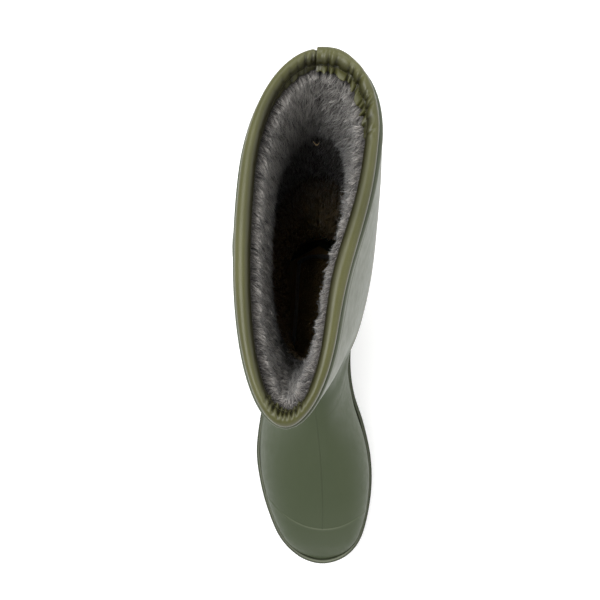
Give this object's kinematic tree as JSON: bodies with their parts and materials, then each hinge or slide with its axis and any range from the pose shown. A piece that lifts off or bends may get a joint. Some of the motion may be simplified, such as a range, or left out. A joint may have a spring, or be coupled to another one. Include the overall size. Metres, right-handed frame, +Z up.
{
  "type": "insulated hunting boot",
  "caption": "Tall right-foot waterproof rubber boot with a plush lining, a padded rolled collar, a toe cap, a raised band round the sole and a lugged tread.",
  "frame": {"origin": "ground level, at the centre of the heel's tread", "axes": "+Z up along the leg, -Y towards the toe, +X towards the inner (medial) side of the right foot"},
  "size_m": [0.1031, 0.3129, 0.3526],
  "materials": {
    "leg_rubber": "matt",
    "foot_rubber": "matt",
    "band_rubber": "satin",
    "tread_rubber": "matt",
    "midsole_foam": "matt foam",
    "insulation_felt": "felt",
    "plush": "deep pile",
    "footbed_foam": "matt foam",
    "fibre_board": "matt fibre",
    "cushion_gel": "satin",
    "shank_steel": "plain",
    "binding_leatherette": "soft sheen",
    "filler_cord": "soft",
    "thread": "thread"
  },
  "bodies": {
    "foot": {"quarter_shell": "foot_rubber", "heel_insulation": "insulation_felt", "heel_lining": "plush", "heel_counter": "fibre_board", "heel_guard": "foot_rubber", "outsole_heelpart": "tread_rubber", "midsole_heelpart": "midsole_foam", "steel_shank": "shank_steel", "heel_cushion": "cushion_gel", "foxing_heelpart": "band_rubber", "insole_board_heelpart": "fibre_board"},
    "forefoot": {"vamp_shell": "foot_rubber", "forefoot_insulation": "insulation_felt", "forefoot_lining": "plush", "toe_cap": "foot_rubber", "toe_puff": "fibre_board", "outsole_forepart": "tread_rubber", "midsole_forepart": "midsole_foam", "foxing_forepart": "band_rubber", "insole_board_forepart": "fibre_board", "footbed_foam_forepart": "footbed_foam", "footbed_cover_forepart": "plush"},
    "leg": {"leg_shell": "leg_rubber", "leg_insulation": "insulation_felt", "leg_lining": "plush", "collar_binding": "binding_leatherette", "collar_cord": "filler_cord", "collar_stitching": "thread", "side_badge": "foot_rubber"},
    "footbed": {"footbed_foam_heelpart": "footbed_foam", "footbed_cover_heelpart": "plush"}
  },
  "joints": [
    {"name": "toe_flex", "type": "hinge", "parent": "foot", "child": "forefoot", "pos_m": [0, -0.146, 0.05], "axis": [-1, 0, 0], "range_deg": [0, 25]},
    {"name": "ankle_flex", "type": "hinge", "parent": "foot", "child": "leg", "pos_m": [0, -0.035, 0.118], "axis": [1, 0, 0], "range_deg": [-8, 15]},
    {"name": "footbed_lift", "type": "hinge", "parent": "foot", "child": "footbed", "pos_m": [0, -0.19, 0.036], "axis": [1, 0, 0], "range_deg": [0, 10]}
  ]
}
